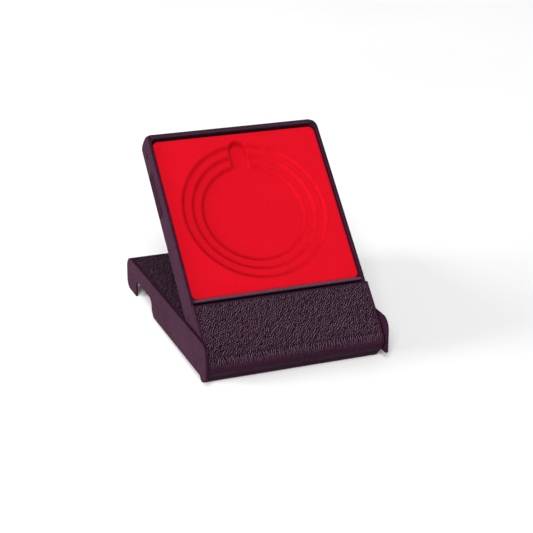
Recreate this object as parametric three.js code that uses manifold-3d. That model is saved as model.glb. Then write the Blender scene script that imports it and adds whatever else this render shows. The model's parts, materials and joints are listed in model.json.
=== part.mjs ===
// Hinged presentation case for a round medal, standing open like an easel.
// A moulded cover lies behind as the foot. A shallow tray turns between the cover's side walls
// and leans back on the front edge of the cover's top plate.
// Millimetres. +X is to the right, +Y to the back, +Z up. The origin is the centre of the footprint.
// Each piece is drawn as it lies in the closed case: y runs from the front end, z from the bottom.

import * as THREE from 'three';
import { mergeVertices } from 'three/addons/utils/BufferGeometryUtils.js';
import Module from 'manifold-3d';

const wasm = await Module();
wasm.setup();

// Driving dimensions of the closed case.
const caseWidth = 90;
const caseLength = 125.4;
const caseHeight = 17.3;
const coverWall = 1.2;
const plateThickness = 1.5;
const clearance = 0.3;
const openAngle = THREE.MathUtils.degToRad(45);

// Tray. Its far end is rounded from the rim down to the floor.
const trayWall = 1.5;
const trayHalf = caseWidth / 2 - coverWall - clearance;
const trayInner = trayHalf - trayWall;
const trayFloor = 1.4;
const trayEnd = 124.7;
const trayCavityEnd = 120.1;
const trayFrontRound = 2.1;
const trayEndRoundBelow = 3.4;
const trayEndRoundAbove = 6.95;
const trayPlanCorner = 2.2;
const rimHeight = 14;
const seamHeight = 5.4;
const crossWallStart = 34.1;
const crossWallEnd = 35.4;
const crest = { half: 41.2, height: 0.3, low: 6 };
const ribHeights = [2.2, 4.2, 6.2];
const rib = { start: 83.4, end: 106, width: 1, proud: 0.55 };
const dimple = { y: 115, z: 6, radius: 1.1, depth: 0.5 };

// Hood.
const hoodTop = 15.9;
const hoodRound = 5.5;
const hoodLength = 32.2;
const hoodWall = 1.6;

// Hinge.
const hinge = { y: 11.4, z: 9.7 };
const pinRadius = 1.1;
const socketRadius = pinRadius + clearance;
const pinInner = 39.9;
const pinOuter = 44.3;
const socketDepth = 0.8;
const boss = { inner: 38.5, reach: 3.2 };

// Edges and openings of the cover.
const frontTopRound = 6;
const frontBottomRound = 1;
const backTopRound = 6.5;
const backBottomRound = 4.5;
const backWallEdge = 11.5;
const backWallInner = 124.1;
const backWallRound = 4;
const plateFront = 32.75;
const plateChamfer = 0.4;
const notchStart = 82.4;
const notchEnd = 109.7;
const notchHeight = 8.7;
const notchRound = 3.5;
const notchFlare = 3;

// Flocked pad and its board.
const padTop = 12.9;
const padBottom = 7.6;
const padHalf = trayInner - clearance;
const padStart = crossWallEnd + clearance;
const padEnd = padStart + 2 * padHalf;
const padCorner = 3;
const recessDiameters = [70, 60, 50];
const recessStep = 1.2;
const ringSlotWidth = 9;
const ringSlotReach = 37;

// How far a cutting solid reaches past the solid that it cuts.
const past = 5;
const ARC_STEPS = 8;
const ROUND_STEPS = 64;

// ---- Outlines -------------------------------------------------------------------------------

// A closed outline from corner points, each [u, v] or [u, v, radius] where the corner is rounded.
function outline(corners) {
  const points = [];
  const count = corners.length;
  for (let i = 0; i < count; i += 1) {
    const [u, v, radius = 0] = corners[i];
    const here = new THREE.Vector2(u, v);
    if (radius === 0) {
      points.push(here);
      continue;
    }
    const before = new THREE.Vector2(...corners[(i + count - 1) % count].slice(0, 2));
    const after = new THREE.Vector2(...corners[(i + 1) % count].slice(0, 2));
    points.push(...roundedCorner(before, here, after, radius));
  }
  return new THREE.Shape(points);
}

// The arc that rounds one corner of an outline.
function roundedCorner(before, here, after, radius) {
  const toBefore = before.clone().sub(here).normalize();
  const toAfter = after.clone().sub(here).normalize();
  const half = toBefore.angleTo(toAfter) / 2;
  const bisector = toBefore.clone().add(toAfter).normalize();
  const centre = here.clone().addScaledVector(bisector, radius / Math.sin(half));
  const start = here.clone().addScaledVector(toBefore, radius / Math.tan(half)).sub(centre);
  const turn = Math.PI - 2 * half;
  const side = -Math.sign(start.cross(toBefore));
  const arc = [];
  for (let step = 0; step <= ARC_STEPS; step += 1) {
    arc.push(start.clone().rotateAround(new THREE.Vector2(), side * turn * step / ARC_STEPS).add(centre));
  }
  return arc;
}

// ---- Solids ---------------------------------------------------------------------------------

function toSolid(geometry) {
  geometry.deleteAttribute('normal');
  geometry.deleteAttribute('uv');
  const merged = mergeVertices(geometry, 1e-4);
  return new wasm.Manifold(new wasm.Mesh({
    numProp: 3,
    vertProperties: new Float32Array(merged.attributes.position.array),
    triVerts: new Uint32Array(merged.index.array),
  }));
}

function toMesh(solid, name, material) {
  const { vertProperties, triVerts } = solid.getMesh();
  const geometry = new THREE.BufferGeometry();
  geometry.setAttribute('position', new THREE.BufferAttribute(vertProperties, 3));
  geometry.setIndex(new THREE.BufferAttribute(triVerts, 1));
  geometry.computeVertexNormals();
  const mesh = new THREE.Mesh(geometry, material);
  mesh.name = name;
  return mesh;
}

// A side profile in (y, z), extruded across the case from x0 to x1.
function acrossX(shape, x0, x1) {
  const geometry = new THREE.ExtrudeGeometry(shape, { depth: x1 - x0, bevelEnabled: false });
  const turn = new THREE.Matrix4().makeBasis(
    new THREE.Vector3(0, 1, 0),
    new THREE.Vector3(0, 0, 1),
    new THREE.Vector3(1, 0, 0),
  );
  geometry.applyMatrix4(turn.setPosition(x0, 0, 0));
  return toSolid(geometry);
}

// A plan outline in (x, y), extruded upwards from z0 to z1.
function upwards(shape, z0, z1) {
  const geometry = new THREE.ExtrudeGeometry(shape, { depth: z1 - z0, bevelEnabled: false });
  geometry.translate(0, 0, z0);
  return toSolid(geometry);
}

function block(x0, x1, y0, y1, z0, z1, corner = 0) {
  const corners = [[x0, y0, corner], [x1, y0, corner], [x1, y1, corner], [x0, y1, corner]];
  return upwards(outline(corners), z0, z1);
}

// A round bar along X through (y, z).
function barX(radius, x0, x1, y, z, sides = 24) {
  const geometry = new THREE.CylinderGeometry(radius, radius, x1 - x0, sides);
  geometry.rotateZ(Math.PI / 2);
  geometry.translate((x0 + x1) / 2, y, z);
  return toSolid(geometry);
}

// A round disc standing upright from z0 to z1.
function discZ(radius, y, z0, z1) {
  const geometry = new THREE.CylinderGeometry(radius, radius, z1 - z0, ROUND_STEPS);
  geometry.rotateX(Math.PI / 2);
  geometry.translate(0, y, (z0 + z1) / 2);
  return toSolid(geometry);
}

// ---- Cover ----------------------------------------------------------------------------------

function coverShell() {
  const side = outline([
    [0, 0, frontBottomRound],
    [caseLength, 0, backBottomRound],
    [caseLength, caseHeight, backTopRound],
    [0, caseHeight, frontTopRound],
  ]);
  const plateUnder = caseHeight - plateThickness;
  const inside = outline([
    [-past, -past],
    [caseLength + past, -past],
    [caseLength + past, backWallEdge],
    [backWallInner, backWallEdge],
    [backWallInner, plateUnder, backWallRound],
    [plateFront, plateUnder],
    [plateFront, caseHeight - plateChamfer],
    [plateFront + plateChamfer, caseHeight],
    [plateFront + plateChamfer, caseHeight + past],
    [-past, caseHeight + past],
  ]);
  const innerHalf = caseWidth / 2 - coverWall;
  let solid = acrossX(side, -caseWidth / 2, caseWidth / 2);
  solid = solid.subtract(acrossX(inside, -innerHalf, innerHalf));
  solid = solid.subtract(acrossX(thumbNotch(), -caseWidth, caseWidth));
  const socketEnd = innerHalf + socketDepth;
  return solid.subtract(barX(socketRadius, -socketEnd, socketEnd, hinge.y, hinge.z));
}

// The opening in the foot of both side walls, through which the ribs of the tray are gripped.
function thumbNotch() {
  const flareStart = notchStart - notchFlare;
  return outline([
    [flareStart, -past],
    [notchEnd, -past],
    [notchEnd, notchHeight, notchRound],
    [notchStart, notchHeight, notchRound],
    [notchStart, notchFlare, notchFlare],
    [flareStart, 0],
  ]);
}

// ---- Tray -----------------------------------------------------------------------------------

function trayShell() {
  const innerRound = hoodRound - hoodWall - clearance;
  const ledge = hoodWall + clearance;
  const shoulder = seamHeight - clearance / 2;
  const side = outline([
    [0, 0, trayFrontRound],
    [trayEnd, 0, trayEndRoundBelow],
    [trayEnd, rimHeight, trayEndRoundAbove],
    [ledge, rimHeight, innerRound],
    [ledge, shoulder],
    [0, shoulder],
  ]);
  const plan = outline([
    [-trayHalf, -1],
    [trayHalf, -1],
    [trayHalf, trayEnd, trayPlanCorner],
    [-trayHalf, trayEnd, trayPlanCorner],
  ]);
  let solid = acrossX(side, -trayHalf, trayHalf).intersect(upwards(plan, -1, rimHeight + 1));
  solid = solid.add(endCrest());
  const above = rimHeight + past;
  solid = solid.subtract(block(-trayInner, trayInner, hoodWall, crossWallStart, trayFloor, above, 1));
  const padRoom = block(-trayInner, trayInner, crossWallEnd, trayCavityEnd, trayFloor, above, padCorner);
  solid = solid.subtract(padRoom);
  for (const sign of [-1, 1]) {
    const socketEnd = sign * (pinInner - clearance);
    const dimpleFloor = sign * (trayHalf - dimple.depth);
    solid = solid.add(hingeBoss(sign)).add(gripRibs(sign));
    solid = solid.subtract(barBetween(socketRadius, socketEnd, sign * caseWidth, hinge.y, hinge.z));
    solid = solid.subtract(barBetween(dimple.radius, dimpleFloor, sign * caseWidth, dimple.y, dimple.z));
  }
  return solid;
}

function barBetween(radius, xa, xb, y, z) {
  return barX(radius, Math.min(xa, xb), Math.max(xa, xb), y, z);
}

// The low raised band round the tray's far end, by which the tray is lifted.
function endCrest() {
  const outer = trayEnd + crest.height;
  const top = rimHeight + crest.height;
  const root = trayEnd - 4;
  const inner = outer - trayEndRoundAbove - crest.height;
  const band = outline([
    [root, crest.low],
    [outer, crest.low],
    [outer, top, trayEndRoundAbove + crest.height],
    [inner, top],
    [inner, rimHeight - 1],
    [root, rimHeight - 4],
  ]);
  return acrossX(band, -crest.half, crest.half);
}

// The thickening inside the tray's wall that holds a stub pin.
function hingeBoss(sign) {
  const inner = sign * boss.inner;
  const outer = sign * (trayInner + trayWall / 2);
  const y0 = hinge.y - boss.reach;
  const y1 = hinge.y + boss.reach;
  const z0 = hinge.z - boss.reach;
  return block(Math.min(inner, outer), Math.max(inner, outer), y0, y1, z0, rimHeight, 1);
}

// Three low ribs on the foot of the tray's side wall.
function gripRibs(sign) {
  const root = sign * (trayHalf - 0.4);
  const tip = sign * (trayHalf + rib.proud);
  const half = rib.width / 2;
  const ribs = ribHeights.map((height) => {
    const low = height - half;
    const high = height + half;
    const flank = outline([[rib.start, low], [rib.end, low], [rib.end, high], [rib.start, high]]);
    return acrossX(flank, Math.min(root, tip), Math.max(root, tip));
  });
  return ribs.reduce((all, one) => all.add(one));
}

// The textured lip that closes the front end of the tray and wraps over its front edge.
function trayHood() {
  const under = rimHeight + clearance;
  const foot = seamHeight + clearance / 2;
  const profile = outline([
    [0, foot, 0.4],
    [hoodWall, foot, 0.4],
    [hoodWall, under, hoodRound - hoodWall - clearance],
    [hoodLength, under, 0.5],
    [hoodLength, hoodTop, 0.8],
    [0, hoodTop, hoodRound],
  ]);
  return acrossX(profile, -trayHalf, trayHalf);
}

function hingePin(sign) {
  return barBetween(pinRadius, sign * pinInner, sign * pinOuter, hinge.y, hinge.z);
}

// ---- Pad ------------------------------------------------------------------------------------

function flockedInsert() {
  const centre = (padStart + padEnd) / 2;
  let solid = block(-padHalf, padHalf, padStart, padEnd, padBottom, padTop, padCorner);
  recessDiameters.forEach((diameter, step) => {
    solid = solid.subtract(discZ(diameter / 2, centre, padTop - recessStep * (step + 1), padTop + 1));
  });
  const slotFloor = padTop - recessStep * recessDiameters.length;
  const half = ringSlotWidth / 2;
  const slotEnd = centre + ringSlotReach;
  const tip = half - 0.1;
  const slot = outline([[-half, centre], [half, centre], [half, slotEnd, tip], [-half, slotEnd, tip]]);
  return solid.subtract(upwards(slot, slotFloor, padTop + 1));
}

function insertBacking() {
  return block(-padHalf, padHalf, padStart, padEnd, trayFloor + clearance, padBottom - clearance, padCorner);
}

// ---- Assembly -------------------------------------------------------------------------------

const smoothPlastic = new THREE.MeshStandardMaterial({ color: 0x4a3541, roughness: 0.5, metalness: 0 });
const grainedPlastic = new THREE.MeshStandardMaterial({ color: 0x2f2029, roughness: 0.55, metalness: 0 });
const redFlock = new THREE.MeshStandardMaterial({ color: 0xe41326, roughness: 1, metalness: 0 });
const board = new THREE.MeshStandardMaterial({ color: 0x8a8278, roughness: 0.9, metalness: 0 });

// The tilt that puts both the tray's rounded foot and the cover's rounded back edge on the table.
function standTilt() {
  const footY = trayFrontRound - hinge.y;
  const footZ = trayFrontRound - hinge.z;
  const foot = new THREE.Vector2(footY, footZ).rotateAround(new THREE.Vector2(), openAngle);
  const y = hinge.y + foot.x - (caseLength - backBottomRound);
  const z = hinge.z + foot.y - backBottomRound;
  const rise = (backBottomRound - trayFrontRound) / Math.hypot(y, z);
  return Math.asin(rise) - Math.atan(z / y);
}

const group = new THREE.Group();
const stand = new THREE.Group();
const tray = new THREE.Group();
const trayOffset = new THREE.Group();
group.add(stand);
stand.add(toMesh(coverShell(), 'cover_shell', grainedPlastic));
stand.add(tray);
tray.add(trayOffset);
tray.position.set(0, hinge.y, hinge.z);
tray.rotation.x = openAngle;
trayOffset.position.set(0, -hinge.y, -hinge.z);
trayOffset.add(toMesh(trayShell(), 'tray_shell', smoothPlastic));
trayOffset.add(toMesh(trayHood(), 'tray_hood', grainedPlastic));
trayOffset.add(toMesh(flockedInsert(), 'flocked_insert', redFlock));
trayOffset.add(toMesh(insertBacking(), 'insert_backing', board));
trayOffset.add(toMesh(hingePin(-1), 'hinge_pin_left', smoothPlastic));
trayOffset.add(toMesh(hingePin(1), 'hinge_pin_right', smoothPlastic));
stand.rotation.x = standTilt();

// The footprint's centre goes to the origin, and the lowest point to the table.
const bounds = new THREE.Box3().setFromObject(group, true);
stand.position.y = -(bounds.min.y + bounds.max.y) / 2;
stand.position.z = -bounds.min.z;

export default group;
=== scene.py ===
# A hinged presentation case for a round medal, standing open like an easel.
# Every piece is drawn in millimetres as it lies in the closed case: x is across, y runs back from the
# front end and z up from the bottom. It is then turned into its place in the frame, in metres.
import json
import math

import bmesh
import bpy
import numpy as np
from mathutils import Matrix, Vector


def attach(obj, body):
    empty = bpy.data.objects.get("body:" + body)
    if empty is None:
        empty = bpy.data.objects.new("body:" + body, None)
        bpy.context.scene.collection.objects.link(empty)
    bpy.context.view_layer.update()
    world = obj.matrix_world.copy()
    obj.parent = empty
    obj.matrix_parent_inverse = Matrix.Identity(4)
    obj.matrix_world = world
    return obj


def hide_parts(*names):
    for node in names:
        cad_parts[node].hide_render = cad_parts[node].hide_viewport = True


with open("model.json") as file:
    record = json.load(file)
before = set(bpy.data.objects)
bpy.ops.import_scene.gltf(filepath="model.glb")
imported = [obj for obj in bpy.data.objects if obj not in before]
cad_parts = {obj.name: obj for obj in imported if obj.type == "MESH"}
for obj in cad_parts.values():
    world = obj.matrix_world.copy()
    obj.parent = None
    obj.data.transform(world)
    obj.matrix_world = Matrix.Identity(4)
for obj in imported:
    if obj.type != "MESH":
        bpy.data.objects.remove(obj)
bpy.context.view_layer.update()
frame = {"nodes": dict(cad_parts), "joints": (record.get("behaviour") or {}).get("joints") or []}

# ---- Dimensions of the closed case, in millimetres --------------------------------------------

CASE_HALF = 45.0
CASE_LENGTH = 125.4
CASE_HEIGHT = 17.3
COVER_INNER = 43.8
OPEN_ANGLE = math.radians(45)

TRAY_HALF = 43.5
TRAY_INNER = 42.0
TRAY_FLOOR = 1.4
TRAY_END = 124.7
TRAY_CAVITY_END = 120.1
TRAY_FRONT_ROUND = 2.1
TRAY_END_BELOW = 3.4
TRAY_END_ABOVE = 6.95
TRAY_CORNER = 2.2
TRAY_EDGE = 0.45
RIM = 14.0
LEDGE_Y = 1.9
LEDGE_Z = 5.25
LEDGE_ROUND = 3.6
CREST_HALF = 41.2
CREST_PROUD = 0.3
CREST_LOW = 6.0
CROSS_WALL = (34.1, 35.4)

HINGE = Vector((0.0, 11.4, 9.7))
SOCKET_RADIUS = 1.4
SOCKET_END = COVER_INNER + 0.8
PIN_INNER = 39.6
DIMPLE = (115.0, 6.0, 1.1, 0.5)
RIB_ENDS = (83.4, 106.0)
RIB_HEIGHTS = (2.2, 4.2, 6.2)
RIB_HALF = 0.5
RIB_PROUD = 0.55
RIB_ROUND = 0.35

HOOD_BOTTOM = 5.55
HOOD_TOP = 15.9
HOOD_UNDER = 14.3
HOOD_WALL = 1.6
HOOD_END = 32.2
HOOD_ROUND = 5.5
HOOD_ROUND_HEIGHT = 10.4

WALL_FRONT_ROUND = 6.0
BACK_BOTTOM_ROUND = 4.5
NOTCH_START = 79.4
NOTCH_STEP = 3
NOTCH_FRONT = 82.4
NOTCH_BACK = 109.7
NOTCH_TOP = 8.7
NOTCH_ROUND = 3.5
PLATE_FRONT = 32.75
PLATE_CHAMFER = (33.15, 16.9)
PLATE_UNDER = 15.8
BACK_ROUND = 6.5
BACK_EDGE = 11.5
BACK_INNER = 124.1

PAD_HALF = 41.7
PAD_CENTRE = 77.4
PAD_TOP = 12.9
PAD_BOTTOM = 7.6
PAD_CORNER = 3.0
RECESS_RADII = (35.0, 30.0, 25.0)
RECESS_STEP = 1.2
SLOT_HALF = 4.5
SLOT_REACH = 37.0
STEP_SOFT = 0.8
PAD_EDGE = 1.1

# The grain: pebbles GRAIN_SIZE apart with creases GRAIN_DEPTH deep, leaning by GRAIN_ANGLE. A larger
# stretch draws them out. The spacings are the distances between the mesh's points.
GRAIN_SIZE = 0.92
GRAIN_DEPTH = 0.25
GRAIN_ANGLE = math.radians(43)
PEBBLE_STRETCH = 0.85
STREAK_STRETCH = 1.4
PLATE_SPACING = 0.3
HOOD_SPACING = 0.19

# Where the grain fades: in from each side edge, and from front to back along y, except that
# HOOD_GRAIN_FRONT is in degrees round the hood's bend. The *_STREAKS are where pebbles turn to streaks.
PLATE_GRAIN_HALF = 44.55
PLATE_GRAIN_SIDES = (0.1, 1.6)
PLATE_GRAIN_FRONT = (33.5, 34.8)
PLATE_GRAIN_BACK = (118.0, 122.6)
PLATE_STREAKS = (117.5, 119.5)
HOOD_GRAIN_SIDES = (0.1, 1.5)
HOOD_GRAIN_BACK = (30.4, 31.6)
HOOD_GRAIN_FRONT = (4, 62)
HOOD_STREAKS = (4.5, 7.5)

# ---- Colours and finishes ---------------------------------------------------------------------

PLUM = (0.0235, 0.0070, 0.0165)
PLUM_DEEP = (0.0170, 0.0050, 0.0118)
PLUM_LIGHT = (0.033, 0.0118, 0.0245)
# Lighter plum for rubbed wear, also used as the painted highlight on the cross strip and the crest.
PLUM_WORN_AND_HIGHLIGHT = (0.085, 0.046, 0.068)
# The grain's crests get a painted highlight and its creases painted shade.
PLUM_PAINTED_CREST_HIGHLIGHT = (0.135, 0.082, 0.118)
PLUM_PAINTED_CREASE_SHADE = (0.003, 0.0008, 0.0018)
PLASTIC_SPECULAR = 0.007
PLASTIC_IOR = 1.49

RED_SHADED = (0.42, 0.0024, 0.0082)
RED_LIT = (0.60, 0.0049, 0.0156)
RED_LEANING = (0.365, 0.002, 0.006)
RED_BRUSHED = (0.425, 0.003, 0.009)
# Painted shade along the walls of the recess steps in the pad.
RED_PAINTED_STEP_SHADE = (0.33, 0.0018, 0.005)
FLOCK_SPECULAR = 0.03

BOARD_DARK = (0.21, 0.19, 0.165)
BOARD_PALE = (0.31, 0.285, 0.25)
BOARD_FLECK = (0.10, 0.085, 0.07)
BOARD_SPECULAR = 0.2

# ---- Studio -----------------------------------------------------------------------------------

FLOOR_REACH = 4.0
FLOOR_GREY = (0.87, 0.87, 0.87)
FLOOR_WHITE = (0.89, 0.89, 0.89)
SKY_STRENGTH = 0.24
KEY_ENERGY = 3.75
KEY_ANGLE = math.radians(28)
KEY_DIRECTION = Vector((0.36, 0.80, -0.70))
SIDE_PLACE = Vector((-1.30, 0.05, 0.20))
SIDE_TARGET = Vector((0, 0, 0.04))
SIDE_WIDTH = 0.9
SIDE_HEIGHT = 0.35
SIDE_ENERGY = 36
CAMERA_PLACE = Vector((-0.230305, -0.604543, 0.305094))
CAMERA_FORWARD = Vector((0.337397, 0.856038, -0.391615))
CAMERA_UP = Vector((0.127783, 0.370511, 0.919996))
CAMERA_LENS = 97.68
CAMERA_SENSOR = 36

# ---- Places in the frame ----------------------------------------------------------------------

hinge_joint = frame["joints"][0]
hinge_place = Vector(hinge_joint["pos_m"])


def stand_tilt():
    """The tilt that puts the tray's rounded foot and the cover's rounded back corners on the table."""
    y = TRAY_FRONT_ROUND - HINGE.y
    z = TRAY_FRONT_ROUND - HINGE.z
    foot_y = y * math.cos(OPEN_ANGLE) - z * math.sin(OPEN_ANGLE)
    foot_z = y * math.sin(OPEN_ANGLE) + z * math.cos(OPEN_ANGLE)
    span_y = HINGE.y + foot_y - (CASE_LENGTH - BACK_BOTTOM_ROUND)
    span_z = HINGE.z + foot_z - BACK_BOTTOM_ROUND
    rise = (BACK_BOTTOM_ROUND - TRAY_FRONT_ROUND) / math.hypot(span_y, span_z)
    return math.asin(rise) - math.atan(span_z / span_y)


def placing(angle):
    turn = Matrix.Rotation(angle, 4, "X") @ Matrix.Scale(0.001, 4)
    return Matrix.Translation(hinge_place) @ turn @ Matrix.Translation(-HINGE)


TILT = stand_tilt()
TO_COVER = placing(TILT)
TO_TRAY = placing(TILT + OPEN_ANGLE)

# ---- Outlines ---------------------------------------------------------------------------------


def outline(corners, arc_step=0.35):
    """A closed outline from corners, each (u, v) or (u, v, radius) where the corner is rounded."""
    points = []
    count = len(corners)
    for i, (u, v, *radius) in enumerate(corners):
        here = np.array([u, v], float)
        if not radius:
            points.append(here)
            continue
        to_before = np.array(corners[i - 1][:2], float) - here
        to_after = np.array(corners[(i + 1) % count][:2], float) - here
        to_before /= np.linalg.norm(to_before)
        to_after /= np.linalg.norm(to_after)
        half = math.acos(np.clip(to_before @ to_after, -1, 1)) / 2
        middle = to_before + to_after
        centre = here + middle / np.linalg.norm(middle) * radius[0] / math.sin(half)
        start = here + to_before * radius[0] / math.tan(half) - centre
        turn = math.pi - 2 * half
        side = -np.sign(start[0] * to_before[1] - start[1] * to_before[0])
        steps = max(4, math.ceil(radius[0] * turn / arc_step))
        for k in range(steps + 1):
            a = side * turn * k / steps
            c, s = math.cos(a), math.sin(a)
            points.append(centre + np.array([c * start[0] - s * start[1], s * start[0] + c * start[1]]))
    return np.array(points)


def arc(y, z, radius, start, end, step=0.35):
    """Points on an arc round (y, z), from one angle to another in degrees; 0 points along y."""
    count = max(4, math.ceil(radius * math.radians(abs(end - start)) / step))
    a = np.radians(np.linspace(start, end, count + 1))
    return np.column_stack([y + radius * np.cos(a), z + radius * np.sin(a)])


def densify(points, step):
    """The closed outline with its long straight runs divided. step(point) gives the wanted spacing."""
    apart = np.linalg.norm(points - np.roll(points, 1, 0), axis=1) > 1e-6
    points = points[apart]
    result = []
    for here, after in zip(points, np.roll(points, -1, 0)):
        parts = max(1, math.ceil(np.linalg.norm(after - here) / step((here + after) / 2)))
        for k in range(parts):
            result.append(here + (after - here) * k / parts)
    return np.array(result)


def normals_of(points):
    """Unit normals of a closed outline that point out of it, scaled up at corners as a mitre."""
    edges = np.roll(points, -1, 0) - points
    edges /= np.linalg.norm(edges, axis=1)[:, None]
    across = np.stack([edges[:, 1], -edges[:, 0]], 1)
    x, y = points.T
    if np.sum(x * np.roll(y, -1) - np.roll(x, -1) * y) < 0:
        across = -across
    both = across + np.roll(across, 1, 0)
    both /= np.linalg.norm(both, axis=1)[:, None]
    mitre = np.maximum(np.sum(both * across, 1), 0.5)
    return both / mitre[:, None]


# ---- Shells -----------------------------------------------------------------------------------


def shell(verts, faces, **fields):
    """A closed surface: its vertices, its faces turned outwards, and values on its vertices."""
    verts = np.asarray(verts, float)
    volume = 0.0
    for face in faces:
        p = verts[np.asarray(face)]
        fan = np.cross(p[1:-1] - p[0], p[2:] - p[0])
        volume += np.einsum("ij,ij->", fan, np.repeat(p[:1], len(p) - 2, 0))
    if volume < 0:
        faces = [tuple(reversed(f)) for f in faces]
    return {"verts": verts, "faces": faces, "fields": fields}


def loft(rings, **fields):
    """A closed shell through rings with equal counts of points, with a flat cap at each end."""
    count = len(rings[0])
    verts = np.concatenate(rings)
    j = np.arange(count)
    k = (j + 1) % count
    faces = []
    for i in range(len(rings) - 1):
        a, b = i * count, (i + 1) * count
        faces.extend(map(tuple, np.stack([a + j, a + k, b + k, b + j], 1).tolist()))
    faces.append(tuple(range(count - 1, -1, -1)))
    last = (len(rings) - 1) * count
    faces.append(tuple(range(last, last + count)))
    return shell(verts, faces, **fields)


def across_x(profile, x0, x1, fillet0, fillet1, columns=(), push=None, steps=4):
    """Rings of a side profile in (y, z) across x, with rounded ends. push(x) moves profile points in."""
    normals = normals_of(profile)
    turns = [math.pi / 2 * k / steps for k in range(steps + 1)]
    stations = [(x0 + fillet0 * (1 - math.cos(a)), fillet0 * (1 - math.sin(a))) for a in turns]
    stations += [(x, 0.0) for x in columns]
    stations += [(x1 - fillet1 * (1 - math.cos(a)), fillet1 * (1 - math.sin(a))) for a in reversed(turns)]
    rings = []
    for x, inward in stations:
        flat = profile - normals * inward
        if push is not None:
            flat = flat - normals * push(x)[:, None]
        rings.append(np.column_stack([np.full(len(flat), x), flat]))
    return rings, np.array([x for x, _ in stations])


def rounded_box(x0, x1, y0, y1, z0, z1, radius, steps=3):
    """A block whose edges and corners are all rounded."""
    box = bmesh.new()
    bmesh.ops.create_cube(box, size=1.0)
    size = Vector((x1 - x0, y1 - y0, z1 - z0))
    middle = Vector((x0 + x1, y0 + y1, z0 + z1)) / 2
    for v in box.verts:
        v.co = Vector(a * b for a, b in zip(v.co, size)) + middle
    bmesh.ops.bevel(box, geom=list(box.edges), offset=radius, segments=steps, profile=0.5, affect="EDGES")
    box.verts.index_update()
    verts = [v.co[:] for v in box.verts]
    faces = [tuple(v.index for v in f.verts) for f in box.faces]
    box.free()
    return shell(verts, faces)


def turned_x(profile, y, z, sides=32):
    """A solid of revolution about an axis along x through (y, z), from (x, radius) points."""
    a = np.linspace(0, 2 * math.pi, sides, endpoint=False)
    rings = [np.column_stack([np.full(sides, x), y + r * np.cos(a), z + r * np.sin(a)]) for x, r in profile]
    return loft(rings)


def make_object(name, shells, place, material):
    """One mesh object from several shells, placed in the frame."""
    verts, faces, base = [], [], 0
    for s in shells:
        verts.append(s["verts"])
        faces.extend(tuple(i + base for i in f) for f in s["faces"])
        base += len(s["verts"])
    mesh = bpy.data.meshes.new(name)
    mesh.from_pydata(np.concatenate(verts), [], faces)
    for field in sorted({f for s in shells for f in s["fields"]}):
        values = [s["fields"].get(field, np.zeros(len(s["verts"]))) for s in shells]
        layer = mesh.attributes.new(field, "FLOAT", "POINT")
        layer.data.foreach_set("value", np.concatenate(values).astype(np.float32))
    mesh.transform(place)
    mesh.update()
    mesh.polygons.foreach_set("use_smooth", np.ones(len(mesh.polygons), bool))
    obj = bpy.data.objects.new(name, mesh)
    bpy.context.scene.collection.objects.link(obj)
    if material is not None:
        mesh.materials.append(material)
    return obj


def carve(target, cutters, place):
    """Subtracts closed shells from an object's mesh."""
    for i, cutter in enumerate(cutters):
        tool = make_object(f"cutter_{i}", [cutter], place, None)
        cut = target.modifiers.new("cut", "BOOLEAN")
        cut.operation, cut.solver, cut.object = "DIFFERENCE", "EXACT", tool
        evaluated = target.evaluated_get(bpy.context.evaluated_depsgraph_get())
        mesh = bpy.data.meshes.new_from_object(evaluated)
        target.modifiers.clear()
        old, target.data = target.data, mesh
        bpy.data.meshes.remove(old)
        bpy.data.objects.remove(tool)


def join(target, others):
    """Adds other objects' meshes to the target's."""
    with bpy.context.temp_override(active_object=target, selected_editable_objects=[target, *others]):
        bpy.ops.object.join()


def finish_shading(obj, angle=38):
    """Smooth faces, with edges sharper than angle kept sharp."""
    obj.data.polygons.foreach_set("use_smooth", np.ones(len(obj.data.polygons), bool))
    obj.data.set_sharp_from_angle(angle=math.radians(angle))
    weigh = obj.modifiers.new("weighted_normals", "WEIGHTED_NORMAL")
    weigh.keep_sharp = True


# ---- Leather grain ----------------------------------------------------------------------------


def grain_field(rows, cols, spacing, wavelength, stretch, angle, seed):
    """Moulded leather grain from 0 in the creases to 1 on the pebbles. Rows follow the profile, columns x.
    The pebbles are about wavelength apart, and a larger stretch draws them out along angle."""
    rng = np.random.default_rng(seed)
    shape = (rows + 48, cols + 48)
    k_row = np.fft.fftfreq(shape[0], spacing)[:, None]
    k_col = np.fft.rfftfreq(shape[1], spacing)[None, :]

    def banded(field, length, width):
        along = (k_row * math.cos(angle) + k_col * math.sin(angle)) * length
        across = (k_col * math.cos(angle) - k_row * math.sin(angle)) * length
        packet = ((abs(across) - 1) / width) ** 2 + (along * stretch / 0.95) ** 2
        result = np.fft.irfft2(np.fft.rfft2(field) * np.exp(-packet), s=shape)
        return result / result.std()

    field = banded(rng.standard_normal(shape), wavelength, 0.42)
    coarse = banded(rng.standard_normal(shape), wavelength * 3.0, 0.6)
    fine = banded(rng.standard_normal(shape), wavelength * 0.6, 0.4)
    field = field + 0.15 * coarse + 0.2 * fine
    height = 1 / (1 + np.exp(-2.6 * (field + 0.05)))
    return height[:rows, :cols]


def fade(value, start, end):
    """Smoothly from 0 at start to 1 at end."""
    t = np.clip((value - start) / (end - start), 0, 1)
    return t * t * (3 - 2 * t)


# ---- Materials --------------------------------------------------------------------------------


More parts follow.
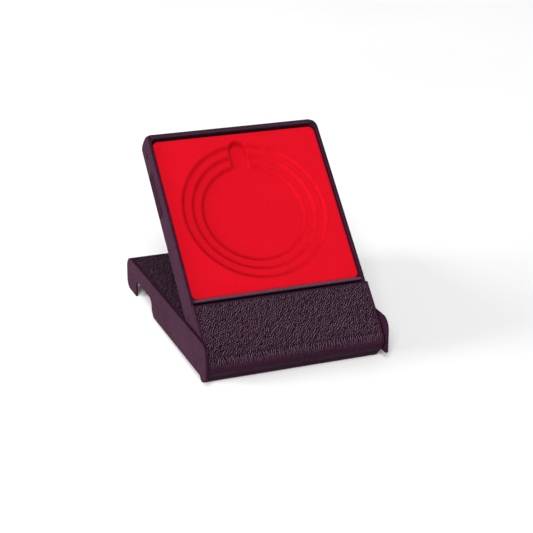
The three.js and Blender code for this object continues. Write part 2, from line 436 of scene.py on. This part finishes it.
class Finish:
    """A node material. add() makes a node, sets its values and links its inputs."""

    def __init__(self, name):
        self.material = bpy.data.materials.new(name)
        self.material.use_nodes = True
        self.tree = self.material.node_tree
        self.shader = self.tree.nodes["Principled BSDF"]
        self.place = self.add("ShaderNodeTexCoord").outputs["Object"]

    def add(self, kind, inputs=None, **settings):
        made = self.tree.nodes.new(kind)
        for key, value in settings.items():
            setattr(made, key, value)
        self.set(made, inputs or {})
        return made

    def set(self, made, inputs):
        for key, value in inputs.items():
            if isinstance(value, bpy.types.NodeSocket):
                self.tree.links.new(value, made.inputs[key])
            else:
                made.inputs[key].default_value = value

    def noise(self, scale, detail=2.0, roughness=0.5, stretch=(1, 1, 1)):
        """Noise with scale in cycles per metre."""
        place = self.place
        if stretch != (1, 1, 1):
            place = self.add("ShaderNodeMapping", {"Vector": place, "Scale": stretch}).outputs[0]
        values = {"Vector": place, "Scale": scale, "Detail": detail, "Roughness": roughness}
        return self.add("ShaderNodeTexNoise", values).outputs["Fac"]

    def ranged(self, value, low, high, to_low=0.0, to_high=1.0):
        values = {"Value": value, "From Min": low, "From Max": high, "To Min": to_low, "To Max": to_high}
        return self.add("ShaderNodeMapRange", values).outputs[0]

    def mix(self, factor, a, b):
        made = self.add("ShaderNodeMix", data_type="RGBA")
        for socket, value in ((0, factor), (6, a), (7, b)):
            if isinstance(value, bpy.types.NodeSocket):
                self.tree.links.new(value, made.inputs[socket])
            else:
                made.inputs[socket].default_value = value if socket == 0 else (*value, 1)
        return made.outputs[2]

    def maths(self, operation, a, b):
        return self.add("ShaderNodeMath", {0: a, 1: b}, operation=operation).outputs[0]

    def bump(self, height, distance, strength=1.0, before=None):
        values = {"Height": height, "Distance": distance, "Strength": strength}
        if before is not None:
            values["Normal"] = before
        return self.add("ShaderNodeBump", values).outputs[0]

    def field(self, name):
        return self.add("ShaderNodeAttribute", attribute_name=name).outputs["Fac"]


def plastic(name, grained):
    """Aubergine moulded plastic with a fine spark-eroded skin and rubbed wear. Grained, it has a painted
    highlight on the grain's crests and painted shade in its creases; plain, it has a painted highlight on
    the parts that carry one.
    """
    f = Finish(name)
    cloud = f.ranged(f.noise(55, 3), 0.35, 0.65)
    mottle = f.ranged(f.noise(900, 2), 0.35, 0.65)
    colour = f.mix(f.maths("MULTIPLY", cloud, 0.7), PLUM, PLUM_DEEP)
    colour = f.mix(f.maths("MULTIPLY", mottle, 0.4), colour, PLUM_LIGHT)
    rubbed = f.ranged(f.noise(420, 4, 0.65), 0.52, 0.68)
    wear = f.maths("MULTIPLY", rubbed, 0.07)
    rough = f.ranged(f.noise(130, 3), 0.3, 0.7, 0.44, 0.56)
    spark = f.noise(5200, 3, 0.6)
    normal = f.bump(spark, 0.00003, 0.5)
    if grained:
        grain = f.field("grain")
        mask = f.field("grain_mask")
        # Painted light in the grain: the crests are lightened as a painted highlight and the creases
        # darkened as painted shade; the creases are also rougher.
        valley = f.maths("MULTIPLY", f.ranged(grain, 0.8, 0.25), mask)
        crest = f.maths("MULTIPLY", f.ranged(grain, 0.62, 0.95), mask)
        colour = f.mix(f.maths("MULTIPLY", crest, 0.8), colour, PLUM_PAINTED_CREST_HIGHLIGHT)
        colour = f.mix(f.maths("MULTIPLY", valley, 0.85), colour, PLUM_PAINTED_CREASE_SHADE)
        rough = f.maths("ADD", rough, f.maths("MULTIPLY", valley, 0.22))
        rough = f.maths("SUBTRACT", rough, f.maths("MULTIPLY", crest, 0.06))
        normal = f.bump(f.noise(2600, 3, 0.6), 0.00008, 0.6, normal)
    else:
        # Painted highlight: the parts that carry this field, the cross strip and the far crest, are
        # lightened, broken up by noise.
        scuff = f.maths("MULTIPLY", f.field("scuff"), f.ranged(f.noise(700, 3, 0.6), 0.3, 0.7, 0.6, 1.0))
        colour = f.mix(scuff, colour, PLUM_WORN_AND_HIGHLIGHT)
    colour = f.mix(wear, colour, PLUM_WORN_AND_HIGHLIGHT)
    f.set(f.shader, {"Base Color": colour, "Roughness": rough, "Normal": normal})
    f.shader.inputs["Specular IOR Level"].default_value = PLASTIC_SPECULAR
    f.shader.inputs["IOR"].default_value = PLASTIC_IOR
    return f.material


def flock():
    """Red flock: a dense nap of short fibres, brushed in patches, with painted shade along the walls of the
    recess steps.
    """
    f = Finish("red_flock")
    fibre = f.noise(6500, 2, 0.7)
    lean = f.noise(2100, 3, 0.6, (1.0, 0.45, 0.45))
    brushed = f.ranged(f.noise(48, 3, 0.55), 0.36, 0.64)
    colour = f.mix(f.ranged(fibre, 0.3, 0.7), RED_SHADED, RED_LIT)
    colour = f.mix(f.maths("MULTIPLY", f.ranged(lean, 0.4, 0.7), 0.3), colour, RED_LEANING)
    colour = f.mix(f.maths("MULTIPLY", brushed, 0.22), colour, RED_BRUSHED)
    # Painted shade on the recess step walls, darker in random patches.
    step_shade_strength = f.ranged(f.noise(260, 3, 0.6), 0.3, 0.7, 0.35, 0.8)
    colour = f.mix(f.maths("MULTIPLY", f.field("step"), step_shade_strength), colour, RED_PAINTED_STEP_SHADE)
    normal = f.bump(lean, 0.00015, 0.35)
    normal = f.bump(fibre, 0.00008, 0.5, normal)
    rough = f.ranged(fibre, 0.3, 0.7, 0.9, 1.0)
    f.set(f.shader, {"Base Color": colour, "Roughness": rough, "Normal": normal})
    f.shader.inputs["Specular IOR Level"].default_value = FLOCK_SPECULAR
    f.shader.inputs["Sheen Weight"].default_value = 0.2
    f.shader.inputs["Sheen Roughness"].default_value = 0.45
    f.shader.inputs["Sheen Tint"].default_value = (1.0, 0.02, 0.04, 1)
    return f.material


def grey_board():
    """Pressed grey board with fibres and darker flecks."""
    f = Finish("grey_board")
    fibres = f.noise(1500, 4, 0.7, (1.0, 0.25, 1.0))
    flecks = f.ranged(f.noise(2600, 1), 0.66, 0.74)
    colour = f.mix(fibres, BOARD_DARK, BOARD_PALE)
    colour = f.mix(f.maths("MULTIPLY", flecks, 0.6), colour, BOARD_FLECK)
    normal = f.bump(fibres, 0.00008, 0.6)
    rough = f.ranged(fibres, 0.3, 0.7, 0.82, 0.95)
    f.set(f.shader, {"Base Color": colour, "Roughness": rough, "Normal": normal})
    f.shader.inputs["Specular IOR Level"].default_value = BOARD_SPECULAR
    return f.material


plain_plastic = plastic("aubergine_plastic", False)
grained_plastic = plastic("aubergine_leather_grain", True)
red_flock = flock()
board = grey_board()

# ---- Cover ------------------------------------------------------------------------------------


def side_wall(sign):
    """One side wall of the cover with its thumb notch, its top tucked under the plate's skin."""
    tuck = 0.25
    centre = (CASE_LENGTH - BACK_ROUND, CASE_HEIGHT - BACK_ROUND)
    foot = outline([
        (33.8, CASE_HEIGHT - tuck), (33.4, CASE_HEIGHT), (0, CASE_HEIGHT, WALL_FRONT_ROUND), (0, 0, 1.0),
        (NOTCH_START, 0, 0.6), (NOTCH_FRONT, NOTCH_STEP, 3.0), (NOTCH_FRONT, NOTCH_TOP, NOTCH_ROUND),
        (NOTCH_BACK, NOTCH_TOP, NOTCH_ROUND), (NOTCH_BACK, 0, 0.5),
        (CASE_LENGTH, 0, BACK_BOTTOM_ROUND), (CASE_LENGTH, centre[1] - 0.5),
    ])
    shoulder = arc(*centre, BACK_ROUND, 0, 7)
    tucked = arc(*centre, BACK_ROUND - tuck, 10, 90)
    profile = np.concatenate([foot, shoulder, tucked])
    profile = densify(profile, lambda p: 6.0)
    if sign > 0:
        rings, _ = across_x(profile, COVER_INNER, CASE_HALF, 0.2, 0.4)
    else:
        rings, _ = across_x(profile, -CASE_HALF, -COVER_INNER, 0.4, 0.2)
    return loft(rings)


def grained_shell(profile, dense, spacing, half, fillet, masks, bend, angle, seed):
    """A profile lofted across the case, with grain pressed into the part of it that dense() picks.
    The grain's pebbles draw out into streaks where bend() goes to 1."""
    profile = densify(profile, lambda p: spacing if dense(p) else 4.0)
    run = np.concatenate([[0], np.cumsum(np.linalg.norm(np.diff(profile, axis=0), axis=1))])
    inner = half - fillet
    columns = np.linspace(-inner, inner, round(2 * inner / spacing) + 1)[1:-1]
    picked = np.array([dense(p) for p in profile])
    rows = np.round((run - run[picked].min()) / spacing).astype(int)
    rows = np.where(picked, rows, 0)
    cols = np.round((columns + half) / spacing).astype(int)
    shape = (rows.max() + 1, cols.max() + 3)
    pebbles = grain_field(*shape, spacing, GRAIN_SIZE, PEBBLE_STRETCH, angle, seed)
    streaks = grain_field(*shape, spacing, GRAIN_SIZE, STREAK_STRETCH, 0.0, seed + 1)
    lookup = {round(x, 6): c for x, c in zip(columns, cols)}
    bent = bend(profile)

    def shown(x):
        return np.where(picked, masks(profile, x), 0.0)

    def at(x):
        c = lookup.get(round(x, 6))
        if c is None:
            c = 0 if x < 0 else cols.max() + 1
        return pebbles[rows, c] * (1 - bent) + streaks[rows, c] * bent

    def push(x):
        return (1 - at(x)) * shown(x) * GRAIN_DEPTH

    rings, xs = across_x(profile, -half, half, fillet, fillet, columns, push)
    grain = np.concatenate([at(x) for x in xs])
    mask = np.concatenate([shown(x) for x in xs])
    return loft(rings, grain=grain, grain_mask=mask)


def plate_skin():
    """The cover's top plate and back wall in one bent sheet, grained on top."""
    centre = (CASE_LENGTH - BACK_ROUND, CASE_HEIGHT - BACK_ROUND)
    edge = math.degrees(math.asin((BACK_EDGE + 0.15 - centre[1]) / BACK_ROUND))
    front = outline([
        (PLATE_FRONT, PLATE_UNDER, 0.15), (PLATE_FRONT, PLATE_CHAMFER[1], 0.15),
        (PLATE_CHAMFER[0], CASE_HEIGHT, 0.3), (60, CASE_HEIGHT), (60, PLATE_UNDER),
    ], 0.3)[:-2]
    bent = arc(*centre, BACK_ROUND, 90, edge, 0.3)
    lip = outline([
        (110, BACK_EDGE + 2), (125.3, BACK_EDGE + 2), (125.3, BACK_EDGE, 0.3),
        (BACK_INNER, BACK_EDGE, 0.3), (BACK_INNER, PLATE_UNDER, 4.0), (110, PLATE_UNDER),
    ], 0.3)[2:-1]
    profile = np.concatenate([front, bent, lip])

    def dense(p):
        on_round = p[0] > centre[0] and math.hypot(p[0] - centre[0], p[1] - centre[1]) > BACK_ROUND - 0.1
        return (p[1] > CASE_HEIGHT - 0.01 and p[0] > 33.3) or (on_round and p[1] > BACK_EDGE + 0.2)

    def masks(points, x):
        sides = fade(PLATE_GRAIN_HALF - abs(x), *PLATE_GRAIN_SIDES)
        front = fade(points[:, 0], *PLATE_GRAIN_FRONT)
        back = 1 - fade(points[:, 0], *PLATE_GRAIN_BACK)
        return sides * front * back

    def bend(points):
        return fade(points[:, 0], *PLATE_STREAKS)

    return grained_shell(
        profile, dense, PLATE_SPACING, CASE_HALF - 0.02, 0.4, masks, bend, GRAIN_ANGLE, 11)


def build_cover():
    walls = []
    for sign in (-1, 1):
        wall = make_object(f"wall_{sign}", [side_wall(sign)], TO_COVER, grained_plastic)
        bore = [(sign * 40.0, SOCKET_RADIUS), (sign * SOCKET_END, SOCKET_RADIUS)]
        socket = turned_x(bore, HINGE.y, HINGE.z)
        carve(wall, [socket], TO_COVER)
        walls.append(wall)
    cover = make_object("cover_moulding", [plate_skin()], TO_COVER, grained_plastic)
    join(cover, walls)
    finish_shading(cover)
    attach(cover, "cover")
    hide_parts("cover_shell")


# ---- Tray -------------------------------------------------------------------------------------


def level_ring(half, y0, y1, radius, z, steps=7):
    """A level ring: a rectangle with rounded corners."""
    points = []
    for sx, sy, start in ((1, -1, -90), (1, 1, 0), (-1, 1, 90), (-1, -1, 180)):
        centre = (sx * (half - radius), (y0 if sy < 0 else y1) - sy * radius)
        for k in range(steps + 1):
            a = math.radians(start + 90 * k / steps)
            points.append((centre[0] + radius * math.cos(a), centre[1] + radius * math.sin(a), z))
    return np.array(points)


def tray_body():
    """The tray before it is hollowed. Its far corners have a wider round than its other edges."""
    profile = outline([
        (0, 0, TRAY_FRONT_ROUND), (TRAY_END, 0, TRAY_END_BELOW), (TRAY_END, RIM, TRAY_END_ABOVE),
        (LEDGE_Y, RIM, LEDGE_ROUND), (LEDGE_Y, LEDGE_Z), (0, LEDGE_Z, 0.8),
    ])
    profile = densify(profile, lambda p: 12.0)
    normals = normals_of(profile)
    outwards = np.clip(normals[:, 0], 0, 1) * (profile[:, 0] > 60)
    radius = TRAY_EDGE + (TRAY_CORNER - TRAY_EDGE) * outwards
    turns = np.linspace(0, 1, 7)[1:] * math.pi / 2
    reach = np.concatenate([
        np.linspace(0, TRAY_CORNER - TRAY_EDGE, 7),
        TRAY_CORNER - TRAY_EDGE * (1 - np.sin(turns)),
    ])
    stations = TRAY_HALF - TRAY_CORNER + reach
    stations = np.concatenate([-stations[::-1], stations])
    rings = []
    for x in stations:
        over = np.clip(abs(x) - (TRAY_HALF - radius), 0, radius)
        inward = radius - np.sqrt(np.maximum(radius ** 2 - over ** 2, 0))
        rings.append(np.column_stack([np.full(len(profile), x), profile - normals * inward[:, None]]))
    return loft(rings)


def room(y0, y1, corner):
    """The space that is hollowed out of the tray, with a rounded edge at its floor and rim."""
    rings = []
    for k in range(5):
        a = math.pi / 2 * k / 4
        inward, z = 0.5 * (1 - math.sin(a)), TRAY_FLOOR + 0.5 * (1 - math.cos(a))
        rings.append(level_ring(TRAY_INNER - inward, y0 + inward, y1 - inward, corner - inward, z))
    flare = 0.42
    for k in range(6):
        a = math.radians(76) * k / 5
        out, z = flare * (1 - math.cos(a)), RIM - flare + flare * math.sin(a)
        rings.append(level_ring(TRAY_INNER + out, y0 - out, y1 + out, corner + out, z))
    out += 0.6
    rings.append(level_ring(TRAY_INNER + out, y0 - out, y1 + out, corner + out, z + 0.15))
    rings.append(level_ring(TRAY_INNER + out, y0 - out, y1 + out, corner + out, RIM + 4))
    return loft(rings)


def crest():
    """The low raised band round the tray's far end, over its rounded top edge and down its end face."""
    centre = (TRAY_END - TRAY_END_ABOVE, RIM - TRAY_END_ABOVE)
    radius = TRAY_END_ABOVE + CREST_PROUD
    stop = math.degrees(math.acos((TRAY_CAVITY_END + 0.1 - centre[0]) / radius))
    outer = arc(*centre, radius, 0, stop)
    inner = arc(*centre, radius - 0.9, stop - 6, 0)
    face = TRAY_END + CREST_PROUD
    low = np.array([(TRAY_END - 0.6, CREST_LOW), (face - 0.1, CREST_LOW), (face, CREST_LOW + 0.15)])
    profile = np.concatenate([outer, inner, low])
    rings, _ = across_x(profile, -CREST_HALF, CREST_HALF, 0.15, 0.15, steps=3)
    return loft(rings)


def build_tray():
    tray = make_object("tray_moulding", [tray_body()], TO_TRAY, plain_plastic)
    cutters = [room(CROSS_WALL[1], TRAY_CAVITY_END, PAD_CORNER), room(6.8, CROSS_WALL[0], 1.0)]
    for sign in (-1, 1):
        y, z, radius, depth = DIMPLE
        face = sign * TRAY_HALF
        cup = [(face + sign * 0.5, radius + 0.5), (face, radius + 0.18), (face - sign * 0.12, radius)]
        cup += [(face - sign * (depth - 0.15), radius - 0.05), (face - sign * depth, radius - 0.35)]
        cutters.append(turned_x(cup, y, z))
        bore = [(face + sign * 1.0, SOCKET_RADIUS), (sign * PIN_INNER, SOCKET_RADIUS)]
        cutters.append(turned_x(bore, HINGE.y, HINGE.z))
    carve(tray, cutters, TO_TRAY)
    half, front, back = TRAY_INNER + 0.2, CROSS_WALL[0] - 0.05, CROSS_WALL[1] + 0.05
    strip = rounded_box(-half, half, front, back, 12.0, RIM + 0.03, 0.5)
    # The cross strip gets a full painted highlight and the crest band a weaker one.
    strip["fields"]["scuff"] = np.ones(len(strip["verts"]))
    band = crest()
    band["fields"]["scuff"] = np.full(len(band["verts"]), 0.3)
    parts = [strip, band]
    for sign in (-1, 1):
        for height in RIB_HEIGHTS:
            xs = sorted((sign * (TRAY_HALF - 0.6), sign * (TRAY_HALF + RIB_PROUD)))
            parts.append(rounded_box(*xs, *RIB_ENDS, height - RIB_HALF, height + RIB_HALF, RIB_ROUND, 4))
    extras = make_object("tray_extras", parts, TO_TRAY, plain_plastic)
    join(tray, [extras])
    finish_shading(tray)
    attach(tray, "tray")
    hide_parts("tray_shell")


def hood_skin():
    """The grained lip over the tray's front end."""
    profile = outline([
        (0, HOOD_BOTTOM, 0.9), (HOOD_WALL, HOOD_BOTTOM, 0.4), (HOOD_WALL, HOOD_UNDER, 3.6),
        (HOOD_END, HOOD_UNDER, 0.5), (HOOD_END, HOOD_TOP, 0.8), (0, HOOD_TOP, HOOD_ROUND),
    ], 0.2)

    def dense(p):
        on_top = p[1] > HOOD_TOP - 0.01 and p[0] < 31.5
        reach = math.hypot(p[0] - HOOD_ROUND, p[1] - HOOD_ROUND_HEIGHT)
        outside = p[0] < 0.01 or reach > HOOD_ROUND - 0.1
        return on_top or (p[0] < 5.6 and p[1] > 9.6 and outside)

    def masks(points, x):
        sides = fade(TRAY_HALF - 0.4 - abs(x), *HOOD_GRAIN_SIDES)
        back = 1 - fade(points[:, 0], *HOOD_GRAIN_BACK)
        around = np.degrees(np.arctan2(HOOD_ROUND - points[:, 0], points[:, 1] - HOOD_ROUND_HEIGHT))
        front = np.where(points[:, 0] < HOOD_ROUND, 1 - fade(around, *HOOD_GRAIN_FRONT), 1.0)
        return sides * back * front

    def bend(points):
        return 1 - fade(points[:, 0], *HOOD_STREAKS)

    return grained_shell(profile, dense, HOOD_SPACING, TRAY_HALF, 0.4, masks, bend, -GRAIN_ANGLE, 23)


def build_hood():
    hood = make_object("hood_lip", [hood_skin()], TO_TRAY, grained_plastic)
    finish_shading(hood)
    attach(hood, "tray")
    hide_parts("tray_hood")


# ---- Flocked pad ------------------------------------------------------------------------------


def pad_height(x, y):
    """How far the pad's top lies below its rim, and how much of each place is the wall of a step, where the
    flock gets painted shade.
    """
    across = np.hypot(x, y)
    drop = np.zeros_like(across)
    wall = np.zeros_like(across)
    for radius in RECESS_RADII:
        inside = 1 - fade(across, radius - STEP_SOFT, radius + STEP_SOFT)
        drop += RECESS_STEP * inside
        wall += 1 - fade(abs(across - radius), 0.2, 1.9)
    tip = SLOT_REACH - SLOT_HALF
    lane = np.where(y > tip, np.hypot(x, y - tip), np.abs(x))
    slot = (1 - fade(lane, SLOT_HALF - STEP_SOFT, SLOT_HALF + STEP_SOFT)) * (y > 0)
    deepest = RECESS_STEP * len(RECESS_RADII)
    edge = (1 - fade(abs(lane - SLOT_HALF), 0.2, 1.9)) * (y > 0) * fade(deepest - drop, 0.1, 1.0)
    return np.maximum(drop, deepest * slot), np.maximum(np.clip(wall, 0, 1) * (1 - slot), edge)


def pad_shell():
    """The pad: a square grid drawn into round corners, rolled over at its edge, with straight sides."""
    fine = PAD_HALF - PAD_EDGE * (1 - np.sin(np.linspace(0, math.pi / 2, 7)))[1:]
    main = np.linspace(0, PAD_HALF - PAD_EDGE, 118)
    half = np.concatenate([main, fine])
    line = np.concatenate([-half[:0:-1], half])
    x, y = np.meshgrid(line, line)
    level = np.maximum(abs(x), abs(y))
    share = level / PAD_HALF
    radius = PAD_CORNER * np.clip((share - 0.85) / 0.15, 0, 1)
    small = np.minimum(abs(x), abs(y))
    bend = np.where(radius > 0, (small - (level - radius)) / np.maximum(radius, 1e-9), 0)
    bend = np.clip(bend, 0, 1) * (radius > 0)
    angle = bend * math.pi / 4
    far = np.where(bend > 0, level - radius + radius * np.cos(angle), level)
    near = np.where(bend > 0, level - radius + radius * np.sin(angle), small)
    steep = abs(x) >= abs(y)
    px = np.sign(x) * np.where(steep, far, near)
    py = np.sign(y) * np.where(steep, near, far)
    inside = np.clip((PAD_HALF - level) / PAD_EDGE, 0, 1)
    roll = PAD_EDGE * 0.8 * (1 - np.sqrt(1 - (1 - inside) ** 2))
    rng = np.random.default_rng(5)
    waves = np.zeros_like(px)
    for _ in range(10):
        kx, ky = rng.normal(0, 0.25, 2)
        waves += np.sin(kx * px + ky * py + rng.uniform(0, 6.28))
    drop, wall = pad_height(px, py)
    pz = PAD_TOP - 0.06 + 0.012 * waves - roll - drop
    count = len(line)
    verts = np.column_stack([px.ravel(), py.ravel() + PAD_CENTRE, pz.ravel()])
    grid = np.arange(count * count).reshape(count, count)
    quads = np.stack([grid[:-1, :-1], grid[:-1, 1:], grid[1:, 1:], grid[1:, :-1]], -1).reshape(-1, 4)
    rim = np.concatenate([grid[0, :-1], grid[:-1, -1], grid[-1, :0:-1], grid[:0:-1, 0]])
    faces = list(map(tuple, quads.tolist()))
    base = verts[rim].copy()
    base[:, 2] = PAD_BOTTOM
    first = len(verts)
    verts = np.concatenate([verts, base])
    size = len(rim)
    for i in range(size):
        j = (i + 1) % size
        faces.append((int(rim[j]), int(rim[i]), first + i, first + j))
    faces.append(tuple(range(first + size - 1, first - 1, -1)))
    return shell(verts, faces, step=np.concatenate([wall.ravel(), np.zeros(size)]))


def build_pad():
    pad = make_object("flock_pad", [pad_shell()], TO_TRAY, red_flock)
    finish_shading(pad, 60)
    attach(pad, "tray")
    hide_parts("flocked_insert")


build_cover()
build_tray()
build_hood()
build_pad()

# The board under the pad and the two stub pins keep their own meshes.
kept = {"insert_backing": board, "hinge_pin_left": plain_plastic, "hinge_pin_right": plain_plastic}
for node, material in kept.items():
    mesh = frame["nodes"][node].data
    mesh.materials.clear()
    mesh.materials.append(material)

# ---- Floor, lights and camera -----------------------------------------------------------------


def studio_floor():
    f = Finish("studio_floor")
    paper = f.ranged(f.noise(9, 2), 0.3, 0.7)
    colour = f.mix(paper, FLOOR_GREY, FLOOR_WHITE)
    f.set(f.shader, {"Base Color": colour})
    f.shader.inputs["Roughness"].default_value = 0.9
    f.shader.inputs["Specular IOR Level"].default_value = 0.0
    mesh = bpy.data.meshes.new("studio_floor")
    corners = [(x * FLOOR_REACH, y * FLOOR_REACH, 0) for x, y in ((-1, -1), (1, -1), (1, 1), (-1, 1))]
    mesh.from_pydata(corners, [], [(0, 1, 2, 3)])
    mesh.materials.append(f.material)
    floor = bpy.data.objects.new("studio_floor", mesh)
    bpy.context.scene.collection.objects.link(floor)


def lamp(name, kind, direction, place=(0, 0, 0), **settings):
    """A light that shines along direction."""
    light = bpy.data.lights.new(name, kind)
    for key, value in settings.items():
        setattr(light, key, value)
    made = bpy.data.objects.new(name, light)
    made.location = place
    made.rotation_euler = direction.to_track_quat("-Z", "Y").to_euler()
    bpy.context.scene.collection.objects.link(made)


def camera():
    right = CAMERA_FORWARD.cross(CAMERA_UP).normalized()
    up = right.cross(CAMERA_FORWARD)
    data = bpy.data.cameras.new("camera")
    data.lens = CAMERA_LENS
    data.sensor_width = CAMERA_SENSOR
    data.clip_start = 0.01
    data.clip_end = 20
    made = bpy.data.objects.new("camera", data)
    turn = Matrix((right, up, -CAMERA_FORWARD)).transposed().to_4x4()
    made.matrix_world = Matrix.Translation(CAMERA_PLACE) @ turn
    bpy.context.scene.collection.objects.link(made)
    bpy.context.scene.camera = made


def sky():
    """Even white light from all round."""
    world = bpy.data.worlds.new("studio")
    world.use_nodes = True
    background = world.node_tree.nodes["Background"]
    background.inputs["Color"].default_value = (1, 1, 1, 1)
    background.inputs["Strength"].default_value = SKY_STRENGTH
    bpy.context.scene.world = world


studio_floor()
lamp("key", "SUN", KEY_DIRECTION, energy=KEY_ENERGY, angle=KEY_ANGLE)
lamp(
    "side", "AREA", SIDE_TARGET - SIDE_PLACE, SIDE_PLACE,
    shape="RECTANGLE", size=SIDE_WIDTH, size_y=SIDE_HEIGHT, energy=SIDE_ENERGY,
)
camera()
sky()
bpy.context.scene.view_settings.view_transform = "Standard"
